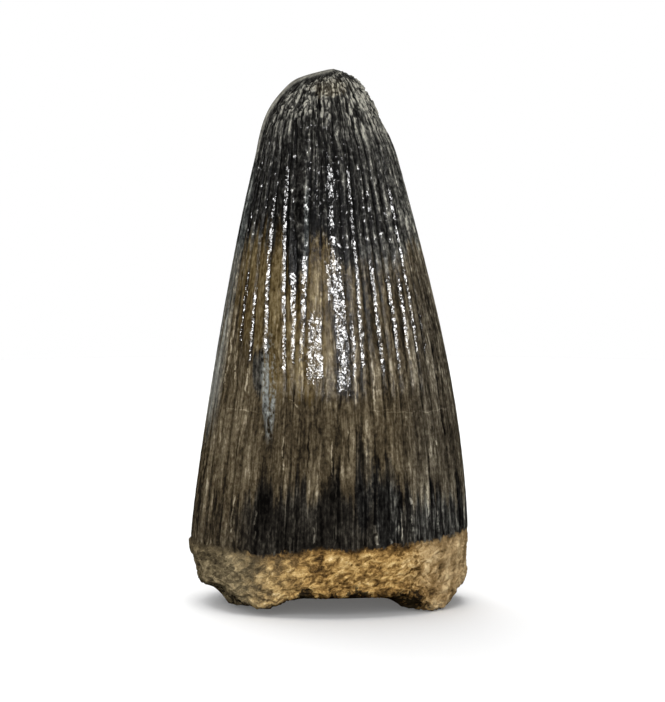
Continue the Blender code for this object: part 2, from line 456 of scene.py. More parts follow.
chance = random.Random(RIB_SEED)
ribs = rib_plan()
grooves = np.concatenate(([ribs[-1, 0] - 360.0], ribs[:, 0], [ribs[0, 0] + 360.0]))
lean = np.interp(azimuth, ribs[:, 0], ribs[:, 1])
along = azimuth - lean * (np.maximum(height, LEAN_DOWN_TO) - LEAN_FROM) / LEAN_OVER
for degrees, size in WOBBLES:
    along = along + degrees * sprinkle(lambda p: noise.noise(p / size))
knob_share = smooth_step((height - KNOB_START) / KNOB_FADE)
tip_wobble = sprinkle(lambda p: noise.noise(p / TIP_WOBBLE_SIZE + Vector((9.0, 0.0, 0.0))))
along = along + TIP_WOBBLE * tip_wobble * knob_share
rib_number = np.clip(np.searchsorted(grooves, along, side="right") - 1, 0, len(ribs))
left_groove, right_groove = grooves[rib_number], grooves[rib_number + 1]
rib_width = right_groove - left_groove
print(len(ribs), "ribs,", round(rib_width.min(), 1), "to", round(rib_width.max(), 1), "degrees wide")

# %% [markdown]
# Across a rib the height climbs one flank, stays flat and falls down the other. A bump texture could
# fake that, but the ribs show along the outline too, so they are real relief. The flank on the side
# of the front is as steep as the crown is round there, so it faces forwards and catches the light
# in a bright column. Ribs near the middle are low and ribs at the sides tall, which makes these
# flanks equally wide. Near the base the wide ribs split in two.

# %% Work out each rib's profile
FORWARD_FLANK = 0.36 * MM
HIDDEN_FLANK = 0.22 * MM
FLANK_TURNS = (10.0, 50.0)
FLANK_DRIFT = 6.0
FLANK_DRIFT_SIZE = 1.5 * MM
FLANK_CHANCE = 4.0
WIDEST_FLANK = 0.6
WIDEST_HIDDEN_FLANK = 0.35
LOWEST_RIB = 0.3
RIB_HEIGHTS = (0.85, 1.0)
GROOVE_WIDTH = 0.13 * MM
WIDE_RIB = 5.5
SPLIT_TOP = 15.0 * MM
SPLIT_FADE = 5.0 * MM
SPLIT_DEPTH = 0.5
SPLIT_WIDTH = 0.1
SPLIT_CHANCE = 0.12
DENTS = 0.12
DENT_SIZE = 0.4 * MM
DENT_SQUEEZE = 0.7

middle = (left_groove + right_groove) / 2.0
left_gap = np.radians(along - left_groove) * reach
right_gap = np.radians(right_groove - along) * reach
width = left_gap + right_gap
looks_left = (middle > 0.0) == (np.abs(middle) < 90.0)
forward_gap = np.where(looks_left, left_gap, right_gap)
hidden_gap = width - forward_gap
border = np.abs(np.where(looks_left, left_groove, right_groove))
turn = np.minimum(border, 180.0 - border) + per_rib(-FLANK_CHANCE, FLANK_CHANCE)
turn = turn + FLANK_DRIFT * sprinkle(lambda p: noise.noise(p / FLANK_DRIFT_SIZE))
slope = np.tan(np.radians(np.clip(turn, *FLANK_TURNS)))
tall = np.clip(FORWARD_FLANK * slope / RIB_HEIGHT, LOWEST_RIB, 1.0) * per_rib(*RIB_HEIGHTS)
flank = np.minimum(tall * RIB_HEIGHT / slope, WIDEST_FLANK * width)
up_flank = forward_gap / flank
down_flank = hidden_gap / np.minimum(HIDDEN_FLANK, WIDEST_HIDDEN_FLANK * width)
plateau = np.clip(np.minimum(up_flank, down_flank), 0.0, 1.0)
rib = tall * plateau
off_middle = (along - middle) / rib_width + per_rib(-SPLIT_CHANCE, SPLIT_CHANCE)
split = np.exp(-(off_middle / SPLIT_WIDTH) ** 2) * (rib_width > WIDE_RIB)
rib = rib * (1.0 - SPLIT_DEPTH * split * smooth_step((SPLIT_TOP - height) / SPLIT_FADE))
dents = sprinkle(lambda p: 0.5 + 0.5 * noise.noise(Vector((p.x, p.y, p.z * DENT_SQUEEZE)) / DENT_SIZE))
rib = np.clip(rib * (1.0 - DENTS + DENTS * dents), 0.0, 1.0)
groove = np.exp(-(np.minimum(left_gap, right_gap) / GROOVE_WIDTH) ** 2)
print("the tallest rib stands", round(RIB_HEIGHT * rib.max() / MM, 2), "mm high")

# %% [markdown]
# Towards the tip the ribs break up into knobs and wrinkles, far too many to sculpt one by one. A
# Voronoi pattern has the right look: a knob is high in the middle of its cell and low at the border
# with the next. The cells are taller than wide and bent by noise, or they would look like scales.

# %% Break the ribs up into knobs
KNOB_WIDTH = 0.5 * MM
KNOB_TALL = 1.15 * MM
KNOB_BEND = 1.5
KNOB_GAP = 0.4
KNOB_HEIGHT = 0.75


def knob_height(point):
    """From 0 between two knobs to 1 on top of one."""
    if point.z < KNOB_START:
        return 0.0
    cell = Vector((point.x / KNOB_WIDTH, point.y / KNOB_WIDTH, point.z / KNOB_TALL))
    cell += KNOB_BEND * noise.noise_vector(cell * 0.9)
    nearest = noise.voronoi(cell)[0]
    return min(1.0, (nearest[1] - nearest[0]) / KNOB_GAP)


knob = sprinkle(knob_height)
# Knobs are higher on the old ribs than in the old grooves, and no two are alike.
knob = knob * (0.55 + 0.45 * plateau) * (0.8 + 0.5 * tip_wobble)
knob = np.clip(knob, 0.0, 1.0) * KNOB_HEIGHT
print("knobs cover", round(100 * float(knob_share.mean())), "% of the points")

# %% [markdown]
# A smooth keel with a groove along its front passes over the tip and down the left shoulder. Ribs
# and knobs stop at it. It could be a strip of its own, but it is enamel like the rest, so it is one
# more rule: a ridge along a line in depth, from the tip's right side to the low end on the left.

# %% Raise the ribs and knobs, and lay the keel
KEEL_LINE = -0.3 * MM
KEEL_WIDTH = 0.55 * MM
KEEL_HEIGHT = 0.3 * MM
KEEL_RIGHT_END = 1.0 * MM
KEEL_RIGHT_FADE = 0.8 * MM
KEEL_LOW_END = 31.0 * MM
KEEL_LOW_FADE = 3.0 * MM
KEEL_CLEARANCE = 1.7
KEEL_GROOVE_PLACE = -1.9
KEEL_GROOVE_WIDTH = 0.45
KEEL_GROOVE_DEPTH = 0.12 * MM

blank_x, blank_y = blank_points[:, 0], blank_points[:, 1]
keel_away = (blank_y - KEEL_LINE) / KEEL_WIDTH
keel_share = ease(height, KEEL_LOW_END, KEEL_LOW_FADE) * ease(blank_x, KEEL_RIGHT_END, -KEEL_RIGHT_FADE)
keel = np.exp(-keel_away ** 2) * keel_share
keel_groove = np.exp(-((keel_away - KEEL_GROOVE_PLACE) / KEEL_GROOVE_WIDTH) ** 2) * keel_share
beside_keel = 1.0 - np.exp(-(keel_away / KEEL_CLEARANCE) ** 4) * keel_share
relief = (rib + (knob - rib) * knob_share) * enamel * beside_keel
push(tooth, "ribs", relief, "NORMAL", RIB_HEIGHT)
push(tooth, "keel", keel, "NORMAL", KEEL_HEIGHT)
push(tooth, "keel_groove", keel_groove, "NORMAL", -KEEL_GROOVE_DEPTH)
print("relief: up to", round(RIB_HEIGHT * float(relief.max()) / MM, 2), "mm")

# %% [markdown]
# Use has worn the tip unevenly: the left shoulder is lower than the right, the cap sits a little to
# the left, the very tip a little to the right, and its top is flat. The outline formula could hold
# all this only with many more numbers, so each kind of wear is one soft push on the part it is on.

# %% Wear the tip and the shoulder
SHOULDER_WEAR = 0.45 * MM
SHOULDER_START = 36.0 * MM
SHOULDER_OVER = 3.0 * MM
SHOULDER_RIGHT_END = 0.7 * MM
SHOULDER_RIGHT_FADE = 2.4 * MM
CAP_SHIFT = 0.18 * MM
CAP_SHIFT_START = 33.0 * MM
CAP_SHIFT_OVER = 3.0 * MM
TIP_SHIFT = 0.3 * MM
TIP_START = 39.0 * MM
TIP_OVER = 0.9 * MM
TOP_WEAR = 0.18 * MM
TOP_START = 38.0 * MM
TOP_OVER = 1.2 * MM
TOP_MIDDLE = -0.1 * MM
TOP_SPREAD = 0.8 * MM

worn_shoulder = ease(height, SHOULDER_START, SHOULDER_OVER)
worn_shoulder = worn_shoulder * ease(blank_x, SHOULDER_RIGHT_END, -SHOULDER_RIGHT_FADE)
push(tooth, "shoulder", worn_shoulder, "Z", -SHOULDER_WEAR)
tip_rise = ease(height, TIP_START, TIP_OVER)
shifted_cap = ease(height, CAP_SHIFT_START, CAP_SHIFT_OVER) * (1.0 - tip_rise)
push(tooth, "cap", shifted_cap, "X", -CAP_SHIFT)
push(tooth, "tip", tip_rise, "X", TIP_SHIFT)
worn_top = ease(height, TOP_START, TOP_OVER) * np.exp(-((blank_x - TOP_MIDDLE) / TOP_SPREAD) ** 2)
push(tooth, "top", worn_top, "Z", -TOP_WEAR)
print("worn to", round(float(read_points(tooth)[:, 2].max()) / MM, 2), "mm")

# %% [markdown]
# Such teeth lean: the tip is set back towards the tongue and the midline sways a little. The blank
# could have been extruded along a curve, but straight rings made every rule simpler, so the lean
# comes last. Then the tooth is centred over the origin with its feet on the ground, like the solid.

# %% Lean the tooth and stand it on its feet
TIP_LEAN = 1.6 * MM
SWAY = 0.21 * MM
SWAY_START = 3.4 * MM
SWAY_PERIOD = 43.0 * MM

push(tooth, "lean", np.clip(height / HEIGHT, 0.0, 1.0) ** 2, "Y", TIP_LEAN)
sway = 0.5 + 0.5 * np.sin(2.0 * math.pi * (height - SWAY_START) / SWAY_PERIOD)
push(tooth, "sway", sway, "X", 2.0 * SWAY)
placed = read_points(tooth)
shift = (placed.min(axis=0) + placed.max(axis=0)) / 2.0
bpy.ops.object.select_all(action="DESELECT")
tooth.select_set(True)
bpy.context.view_layer.objects.active = tooth
bpy.ops.transform.translate(value=(-shift[0], -shift[1], -placed[:, 2].min()))
bpy.ops.object.transform_apply(location=True, rotation=True, scale=True)
bpy.ops.object.shade_smooth()
print("tooth:", [round(side / MM, 2) for side in tooth.dimensions], "mm")

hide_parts("tooth")
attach(tooth, "root")


# %% [markdown]
# The finish has to know the relief: the grooves get painted shade, crests are polished, and the root
# has colours of its own. The shader could guess at it from the curvature. Storing the rules' own
# numbers on the points is exact, and they stay with the surface wherever it goes. The last of them,
# rib space, is a place instead of a number: there the ribs stand upright, and noise that is read in
# it follows them.

# %% Store the relief for the finish
GLOSS_END = 16.2 * MM
GLOSS_END_LEFT = 2.8 * MM
GLOSS_LEFT_START = -26.0
GLOSS_LEFT_OVER = 8.0
GLOSS_RAG = 0.7 * MM
GLINT_LOW_FADE = 1.6 * MM
GLINT_HIGH_FADE = 2.0 * MM
WHOLE_RIB_END = 26.5 * MM
WHOLE_RIB_FADE = 4.0 * MM
CHIP_REACH = 1.7
CHIP_LINE = 0.1 * MM
CHIP_FADE = 0.9 * MM
TONE_HEIGHT = 5.0 * MM
RIB_SPACE_RADIUS = 9.0


def keep(piece, name, values):
    """Store one number for each point, to be read by the material."""
    layer = piece.data.attributes.new(name, "FLOAT", "POINT")
    layer.data.foreach_set("value", values.astype(np.float32))


def keep_place(piece, name, places):
    """Store one place for each point."""
    layer = piece.data.attributes.new(name, "FLOAT_VECTOR", "POINT")
    layer.data.foreach_set("vector", np.column_stack(places).astype(np.float32).ravel())


gloss_ends = [noise.noise(Vector((number * 7.3, 0.0, 0.0))) for number in range(len(ribs))]
gloss_line = GLOSS_END + GLOSS_RAG * of_rib(gloss_ends)
gloss_line = gloss_line + GLOSS_END_LEFT * ease(azimuth, GLOSS_LEFT_START, -GLOSS_LEFT_OVER)
glint = np.clip(1.6 - 2.0 * np.abs(up_flank - 0.5), 0.0, 1.0)
whole_rib = of_rib(ribs[:, 4]) * smooth_step((WHOLE_RIB_END - height) / WHOLE_RIB_FADE + 0.5)
glint = np.maximum(glint, whole_rib * np.clip(plateau * 1.5 - 0.5, 0.0, 1.0))
glint = glint * ease(height, of_rib(ribs[:, 2]) * MM, GLINT_LOW_FADE)
glint = glint * smooth_step((of_rib(ribs[:, 3]) * MM - height) / GLINT_HIGH_FADE + 0.5)
# Pale lines on the flanks that face the front: partly worn edges, partly painted highlight.
rib_line = np.exp(-((up_flank - 0.6) / 0.5) ** 2) * enamel
tones = [noise.noise(Vector((number * 3.7, h / TONE_HEIGHT, 0.0))) for number, h in zip(rib_number, height)]
# Where the chips will be painted black inside, as shadow in the hollow behind them.
chip_shade = np.clip((chips * CHIP_REACH + CHIP_LINE - height) / CHIP_FADE, 0.0, 1.0)
keep(tooth, "relief", relief)
# The groove mask tells the tone where to paint shade in the grooves.
keep(tooth, "groove", groove * enamel * (1.0 - knob_share))
keep(tooth, "rib_line", rib_line)
keep(tooth, "rib_tone", 0.5 + 0.5 * np.array(tones))
keep(tooth, "glint", glint)
keep(tooth, "knob_share", knob_share * beside_keel)
keep(tooth, "keel", keel)
keep(tooth, "above_gloss", (height - gloss_line) / MM)
keep(tooth, "above_root", above_root / MM)
keep(tooth, "grain", grain * towards_rim)
keep(tooth, "chip_shadow_mask", chip_shade)
turned = np.radians(along)
sideways, forwards = np.sin(turned) * RIB_SPACE_RADIUS, -np.cos(turned) * RIB_SPACE_RADIUS
keep_place(tooth, "rib_space", (sideways, forwards, height / MM))
print("glints cover", round(100 * float(glint.mean()), 1), "% of the points")

# %% [markdown]
# The real surface changes from place to place, so its finish is sums on numbers that change over the
# surface. The nodes for them could be linked one by one. A small class turns each sum into Math
# nodes instead, so the recipe reads like the rules for the relief. Lengths are in millimetres.

# %% Shader maths as expressions
class Value:
    """A number that changes over the surface. A sum on it adds Math nodes."""

    def __init__(self, finish, socket):
        self.finish = finish
        self.socket = socket

    def __add__(self, other):
        return self.finish.maths("ADD", self, other)

    def __sub__(self, other):
        return self.finish.maths("SUBTRACT", self, other)

    def __rsub__(self, other):
        return self.finish.maths("SUBTRACT", other, self)

    def __mul__(self, other):
        return self.finish.maths("MULTIPLY", self, other)

    def __truediv__(self, other):
        return self.finish.maths("DIVIDE", self, other)

    def __pow__(self, other):
        return self.finish.maths("POWER", self, other)

    __radd__ = __add__


def colour(red, green, blue):
    """An opaque colour."""
    return (red, green, blue, 1.0)


class Finish:
    """A material and the nodes that feed its shader. Its lengths are in millimetres."""

    def __init__(self, name):
        self.material = bpy.data.materials.new(name)
        self.material.use_nodes = True
        self.tree = self.material.node_tree
        self.shader = self.tree.nodes["Principled BSDF"]
        metres = self.node("ShaderNodeTexCoord").outputs["Object"]
        self.place = self.node("ShaderNodeVectorMath", {"operation": "SCALE"},
                               {"Vector": metres, "Scale": 1000.0}).outputs[0]

    def node(self, kind, settings=None, inputs=None):
        """Any node: its settings first, then the values or links of its sockets."""
        made = self.tree.nodes.new(kind)
        for name, setting in (settings or {}).items():
            setattr(made, name, setting)
        for name, value in (inputs or {}).items():
            self.feed(made.inputs[name], value)
        return made

    def feed(self, socket, value):
        """Link a value to a socket, or set the socket to a plain number or colour."""
        value = value.socket if isinstance(value, Value) else value
        if isinstance(value, bpy.types.NodeSocket):
            self.tree.links.new(value, socket)
        else:
            socket.default_value = value

    def maths(self, operation, *values):
        """One Math node."""
        made = self.node("ShaderNodeMath", {"operation": operation}, dict(enumerate(values)))
        return Value(self, made.outputs[0])

    def smooth(self, value, low, high):
        """Ease from 0 at low to 1 at high. Low may be above high."""
        made = self.node("ShaderNodeMapRange", {"interpolation_type": "SMOOTHSTEP"},
                         {"Value": value, "From Min": low, "From Max": high})
        return Value(self, made.outputs[0])

    def relief(self, name):
        """A number that the mesh stores at each point."""
        made = self.node("ShaderNodeAttribute", {"attribute_name": name})
        return Value(self, made.outputs["Fac"])

    def stored_place(self, name):
        """A place that the mesh stores at each point."""
        return self.node("ShaderNodeAttribute", {"attribute_name": name}).outputs["Vector"]

    def axes(self, where):
        """The x, y and z of a place."""
        made = self.node("ShaderNodeSeparateXYZ", inputs={0: where})
        return [Value(self, socket) for socket in made.outputs]

    def stretched(self, where, size, tall, seed):
        """Coordinates in cells of a size, each so many times taller than it is wide."""
        scale = (1.0 / size, 1.0 / size, 1.0 / (size * tall))
        return self.node("ShaderNodeVectorMath", {"operation": "MULTIPLY_ADD"},
                         {0: where, 1: scale, 2: (seed, seed * 0.37, seed * 1.7)}).outputs[0]

    def cloud(self, where, size, tall=1.0, detail=2.0, roughness=0.5, warp=0.0, seed=0.0):
        """Noise of a cell size, 0 to 1, mostly near 0.5."""
        made = self.node("ShaderNodeTexNoise", inputs={
            "Vector": self.stretched(where, size, tall, seed), "Scale": 1.0, "Detail": detail,
            "Roughness": roughness, "Distortion": warp})
        return Value(self, made.outputs["Fac"])

    def plates(self, where, size, tall=1.0, warp=0.5, seed=0.0):
        """Irregular plates: 0 in the cracks between them, growing towards their middles."""
        cells = self.stretched(where, size, tall, seed)
        bend = self.node("ShaderNodeTexNoise", inputs={"Vector": cells, "Scale": 1.0, "Detail": 1.0})
        bent = self.node("ShaderNodeVectorMath", {"operation": "MULTIPLY_ADD"},
                         {0: bend.outputs["Color"], 1: (warp, warp, warp), 2: cells})
        made = self.node("ShaderNodeTexVoronoi", {"feature": "DISTANCE_TO_EDGE"},
                         {"Vector": bent.outputs[0], "Scale": 1.0})
        return Value(self, made.outputs["Distance"])

    def ramp(self, value, stops):
        """Colours laid out along a value. Each stop is its place, red, green and blue."""
        made = self.node("ShaderNodeValToRGB", inputs={"Fac": value})
        elements = made.color_ramp.elements
        while len(elements) < len(stops):
            elements.new(0.5)
        for element, (place, *paint) in zip(elements, stops):
            element.position = place
            element.color = colour(*paint)
        return made.outputs["Color"]

    def blend(self, under, over, share):
        """Lay one colour over another by a share."""
        made = self.node("ShaderNodeMix", {"data_type": "RGBA"}, {0: share, 6: under, 7: over})
        return made.outputs[2]


# %% [markdown]
# Fossil enamel takes its colours from the minerals around it. Each rib has a tone of its own, from
# ink to pale tan, drawn out in fine streaks along the rib. Streaks could be painted on a map of the
# surface. Noise read in rib space needs no map, and it leans and narrows with the ribs. Streaks are
# long and narrow, dashes and brush marks short, and specks take no notice of the ribs.

# %% Read the surface and its streaks
fossil = Finish("fossil_enamel")
x, y, z = fossil.axes(fossil.place)
rib_space = fossil.stored_place("rib_space")
rib_across = fossil.axes(rib_space)[0]
front = fossil.smooth(y, 1.0, -1.0)
relief_here = fossil.relief("relief")
groove_shade = fossil.relief("groove")
rib_tone = fossil.relief("rib_tone")
rib_line = fossil.relief("rib_line")
knob_here = fossil.relief("knob_share")
keel_here = fossil.relief("keel")
glint_flank = fossil.relief("glint")
streak = fossil.cloud(rib_space, 0.6, tall=14.0, detail=2.0, roughness=0.5, seed=3.0)
fine_streak = fossil.cloud(rib_space, 0.16, tall=11.0, detail=3.0, roughness=0.6, seed=5.0)
dashes = fossil.cloud(rib_space, 0.24, tall=1.5, detail=3.0, roughness=0.6, warp=0.6, seed=51.0)
brush = fossil.cloud(rib_space, 0.34, tall=3.0, detail=3.0, roughness=0.55, warp=0.8, seed=53.0)
patchy = fossil.cloud(fossil.place, 3.5, tall=1.6, detail=4.0, roughness=0.6, seed=9.0)
specks = fossil.cloud(fossil.place, 0.24, tall=1.5, detail=2.0, roughness=0.6, seed=11.0)
bend = fossil.cloud(fossil.place, 0.9, detail=3.0, roughness=0.6, seed=61.0)
gloss_here = fossil.smooth(fossil.relief("above_gloss") + (streak + fine_streak - 1.0) * 2.0, -0.7, 0.7)
print("surface:", len(fossil.tree.nodes), "nodes so far")

# %% [markdown]
# The front has stains in known places, and hairline scratches and cracks that caught dust or dirt. A
# painted image could show them, but it would blur close by. A stain here is an oval that the streaks
# make ragged, and a scratch is the narrow strip around a line between two places, bent by noise.

# %% Lay out stains and scratches
def patch(across, up, half_wide, half_tall):
    """A stain on the front: 1 inside an oval with a ragged edge, 0 outside."""
    far = ((x - across) / half_wide) ** 2.0 + ((z - up) / half_tall) ** 2.0
    ragged = (streak - 0.5) * 3.5 + (fine_streak + specks - 1.0) * 1.3
    return fossil.smooth(far + ragged, 1.5, 0.6) * front


def patches(ovals):
    """Several stains as one value. Each has its x, height, half width, half height and share."""
    total = 0.0
    for across, up, half_wide, half_tall, share in ovals:
        total = patch(across, up, half_wide, half_tall) * share + total
    return total


def stroke(start, end, thin):
    """A scratch on the front between two places, each its x and height."""
    across, up = end[0] - start[0], end[1] - start[1]
    half = math.hypot(across, up) / 2.0
    right, rise = across / (2.0 * half), up / (2.0 * half)
    from_x = x_wavy - (start[0] + end[0]) / 2.0
    from_z = z_wavy - (start[1] + end[1]) / 2.0
    beside = fossil.maths("ABSOLUTE", from_x * rise - from_z * right)
    ahead = fossil.maths("ABSOLUTE", from_x * right + from_z * rise)
    return fossil.smooth(beside, thin, thin * 0.3) * fossil.smooth(ahead, half, half * 0.8) * front


def strokes(lines, thin):
    """Several scratches as one value."""
    total = 0.0
    for start, end in lines:
        total = stroke(start, end, thin) + total
    return total


SCRATCHES = (
    ((-7.1, 20.45), (-7.7, 16.6)), ((-6.7, 19.5), (-7.0, 17.1)), ((-5.9, 18.3), (-6.1, 16.4)),
    ((-0.55, 24.2), (-0.5, 21.4)), ((-1.95, 21.0), (-1.85, 16.2)), ((2.0, 20.3), (2.05, 15.8)),
    ((3.35, 18.0), (3.45, 15.8)), ((-2.95, 16.2), (-2.2, 15.5)), ((-4.3, 32.9), (-4.05, 33.3)),
    ((2.85, 32.9), (3.0, 32.6)), ((-3.65, 29.6), (-3.6, 29.1)), ((7.95, 12.7), (8.1, 12.4)),
    ((0.25, 13.2), (0.25, 10.2)), ((-3.3, 13.4), (-3.25, 10.8)), ((7.3, 9.6), (7.5, 6.9)),
    ((-6.9, 9.0), (-7.3, 5.8)), ((-5.3, 8.0), (-5.4, 5.6)), ((5.4, 8.3), (5.5, 5.6)),
    ((6.2, 7.6), (6.3, 6.2)), ((8.1, 7.6), (8.2, 5.9)), ((-1.0, 6.9), (-1.05, 5.4)),
)
CRACKS = (
    ((4.0, 15.05), (9.3, 14.85)), ((-7.7, 15.1), (-3.6, 14.95)), ((2.9, 15.3), (4.8, 15.25)),
)
FISSURES = (
    ((7.6, 13.9), (7.85, 11.6)), ((8.3, 15.0), (8.7, 12.9)), ((1.5, 14.2), (1.55, 11.5)),
    ((-1.4, 13.6), (-1.45, 10.6)), ((-8.9, 14.0), (-9.4, 10.0)), ((5.0, 18.4), (5.05, 14.0)),
)
FLECKS = (
    ((4.6, 5.9), (4.75, 5.5)), ((5.2, 6.8), (5.3, 6.35)), ((6.05, 8.75), (6.15, 8.2)),
    ((8.1, 6.7), (8.2, 6.25)), ((3.4, 6.9), (3.5, 6.3)), ((3.6, 6.2), (3.65, 5.4)),
)
DARK_PATCHES = (
    (-2.3, 28.0, 0.8, 4.0, 1.0), (3.2, 27.0, 2.2, 4.0, 0.6), (-0.3, 30.5, 1.5, 3.0, 1.0),
    (-5.2, 18.0, 0.4, 1.7, 1.0), (2.6, 10.5, 0.7, 4.0, 0.6), (4.4, 8.5, 0.9, 3.5, 0.6),
)
PALE_PATCHES = ((1.9, 12.5, 0.4, 3.6, 1.0), (4.6, 13.2, 0.3, 2.2, 1.0), (3.15, 9.2, 0.28, 1.6, 1.0))
SCRATCH_WIDTH = 0.075
FLECK_WIDTH = 0.14
CRACK_WIDTH = 0.07
FISSURE_WIDTH = 0.09
WAVE = 0.5

x_wavy, z_wavy = x + (bend - 0.5) * WAVE, z + (bend - 0.5) * WAVE
scratches = strokes(SCRATCHES, SCRATCH_WIDTH) * fossil.smooth(specks, 0.35, 0.5)
scratches = scratches + strokes(FLECKS, FLECK_WIDTH)
cracks = strokes(CRACKS, CRACK_WIDTH) * fossil.smooth(specks, 0.3, 0.5)
fissures = strokes(FISSURES, FISSURE_WIDTH)
dark_patches = patches(DARK_PATCHES)
pale_patches = patches(PALE_PATCHES)
print(len(SCRATCHES) + len(FLECKS) + len(CRACKS) + len(FISSURES), "strokes and",
      len(DARK_PATCHES) + len(PALE_PATCHES), "stains")

# %% [markdown]
# The upper third of the crown and a band above the root are almost black. Straight limits would look
# painted on, so each rib and streak shifts the limit for itself. The band is taller in the middle,
# weak at the left and streaked with pale lines at the right.

# %% Darken the tip and the base
TIP_DARK_SPAN = (25.5, 28.5)
BASE_DARK_SPAN = (10.4, 7.4)
BASE_MIDDLE_SPAN = (5.5, 2.5)
BASE_MIDDLE_RISE = 1.1
BASE_LEFT_SPAN = (-5.0, -8.0)
BASE_LEFT_FADE = 0.55
BASE_RIGHT_SPAN = (3.4, 5.4)

wander = (patchy - 0.5) * 6.0 + (rib_tone - 0.5) * 4.0 + (streak - 0.5) * 5.0
tip_dark = fossil.smooth(z + wander, *TIP_DARK_SPAN)
low_edge = z + wander * 0.3 + (streak - 0.5) * 7.0 + (fine_streak - 0.5) * 2.0
low_edge = low_edge - fossil.smooth(fossil.maths("ABSOLUTE", x), *BASE_MIDDLE_SPAN) * BASE_MIDDLE_RISE
low_dark = fossil.smooth(low_edge, *BASE_DARK_SPAN)
low_dark = low_dark * (1.0 - fossil.smooth(x, *BASE_LEFT_SPAN) * BASE_LEFT_FADE)
low_right = low_dark * fossil.smooth(x, *BASE_RIGHT_SPAN)
print("dark above", TIP_DARK_SPAN[0], "mm and below", BASE_DARK_SPAN[0], "mm")

# %% [markdown]
# Now the tone is summed up from 0.5, a middle brown. Each line adds one thing seen on the real
# enamel, and its factor says how strongly that shows: first the ribs and their streaks, then specks
# and brush marks, painted sheen in the polished zone on the right and painted shade under the
# glints, the dark ends, stains, painted shade in the grooves, the paler sides, scratches, and pale
# lines on the rib flanks that face the front, partly worn edges and partly painted highlight. Last
# come the knobs, paler on top and darker between, partly rubbed bare and partly painted highlight
# and shade, and the keel, pale with polish and with painted light where the lamps hardly reach.

# %% Sum up the tone
GLOSS_RIGHT_SPAN = (0.5, 3.0)
RIGHT_SPAN = (4.0, 6.5)
LEFT_SPAN = (-4.5, -6.5)
TIP_RIGHT_SPAN = (1.5, 3.0)
KNOB_SPAN = (0.08, 0.4)
TIP_PALE_SPAN = (36.5, 38.5)
# The keel's paleness, partly its polish and partly painted light.
KEEL_TONE_AND_LIGHT = 0.9

tone = 0.5 + (rib_tone - 0.5) * 0.5 + (streak - 0.5) * 0.5 + (fine_streak - 0.5) * 0.8
tone = tone + (specks - 0.5) * (0.7 + gloss_here * 0.1 + tip_dark * 0.4) * (1.0 - knob_here * 0.5)
tone = tone + (brush - 0.5) * (0.3 + gloss_here * 0.6)
# Painted sheen: the polished zone is lighter towards the right. Painted shade: the flanks that glint are
# darker, so the gaps between the glints look dark.
tone = tone + gloss_here * fossil.smooth(x, *GLOSS_RIGHT_SPAN) * 0.05 - glint_flank * 0.14
tone = tone - tip_dark * 0.24 - low_dark * 0.2
# Pale and dark stains, and painted shade in the grooves, deeper in the polished zone.
tone = tone + pale_patches * 0.1 - dark_patches * 0.15 - groove_shade * (0.13 + gloss_here * 0.08)
tone = tone + fossil.smooth(x, *RIGHT_SPAN) * (0.04 + tip_dark * 0.06)
tone = tone + fossil.smooth(x, *LEFT_SPAN) * 0.055 + tip_dark * fossil.smooth(x, *TIP_RIGHT_SPAN) * 0.16
tone = tone + low_right * (0.08 + (fine_streak - 0.5) * 0.7)
tone = tone + scratches * 0.33 + cracks * 0.13 - fissures * 0.25
# Pale lines on the front-facing rib flanks, partly worn edges and partly painted highlight.
flank_lines_and_highlight = fossil.smooth(rib_line + (fine_streak + brush - 1.0) * 1.2, 0.8, 1.0)
tone = tone + flank_lines_and_highlight * (0.09 + tip_dark * 0.09 + low_dark * 0.05)
# Knobs paler on their tops and darker between them: partly rubbed bare, partly painted highlight and shade.
knob_tone_and_light = fossil.smooth(relief_here, *KNOB_SPAN) * (0.14 + brush * 0.62) - 0.04
knob_tone_and_light = knob_tone_and_light + fossil.smooth(z, *TIP_PALE_SPAN) * 0.08
tone = tone + knob_here * knob_tone_and_light
# The keel pale: partly its polish, partly painted light, since its face turns up and away from the lamps.
keel_tone_and_light = KEEL_TONE_AND_LIGHT + (specks - 0.5) * 0.3
tone = tone + (keel_tone_and_light - tone) * fossil.smooth(keel_here, 0.2, 0.7) * 0.8
print("tone:", len(fossil.tree.nodes), "nodes so far")

# %% [markdown]
# The tone picks the colour. One ramp from black to pale would make all parts the same hue, and the
# real enamel is olive brown in the middle, neutral at the dark ends and amber where it is thin, with
# a few slate stains. A painted grey reflection down the left edge uses the slate colours too. So each
# hue has its own ramp along the tone, and they are laid over each other.

# %% Mix the enamel's colours
BROWNS = ((0.05, 0.0025, 0.002, 0.0015), (0.3, 0.014, 0.0107, 0.0065), (0.5, 0.045, 0.034, 0.0195),
          (0.72, 0.105, 0.084, 0.052), (0.95, 0.28, 0.24, 0.17))
GREYS = ((0.05, 0.0018, 0.0017, 0.0016), (0.3, 0.0105, 0.01, 0.009), (0.5, 0.033, 0.032, 0.0285),
         (0.72, 0.095, 0.092, 0.08), (0.95, 0.27, 0.26, 0.22))
AMBERS = ((0.05, 0.008, 0.005, 0.002), (0.3, 0.04, 0.027, 0.01), (0.5, 0.087, 0.063, 0.028),
          (0.72, 0.15, 0.117, 0.062), (0.95, 0.3, 0.24, 0.13))
SLATES = ((0.05, 0.02, 0.023, 0.023), (0.5, 0.15, 0.158, 0.15), (0.95, 0.38, 0.4, 0.37))

AMBER_PATCHES = ((-3.8, 22.5, 2.4, 5.5, 1.0), (-0.55, 26.0, 0.9, 3.4, 1.0), (-1.2, 20.5, 1.6, 3.6, 1.0))
TIP_AMBER_PATCHES = ((0.2, 38.7, 1.4, 0.7, 0.22),)
SLATE_PATCHES = ((-4.4, 17.0, 0.5, 3.4, 1.0), (-1.6, 28.6, 0.18, 3.6, 0.7))
GREY_RIGHT_SPAN = (4.5, 7.5)
# Where the painted grey reflection along the left edge lies.
LEFT_EDGE_SPAN = (-8.2, -8.6)
LEFT_EDGE_LOW_SPAN = (12.0, 17.0)
LEFT_EDGE_HIGH_SPAN = (34.0, 30.0)

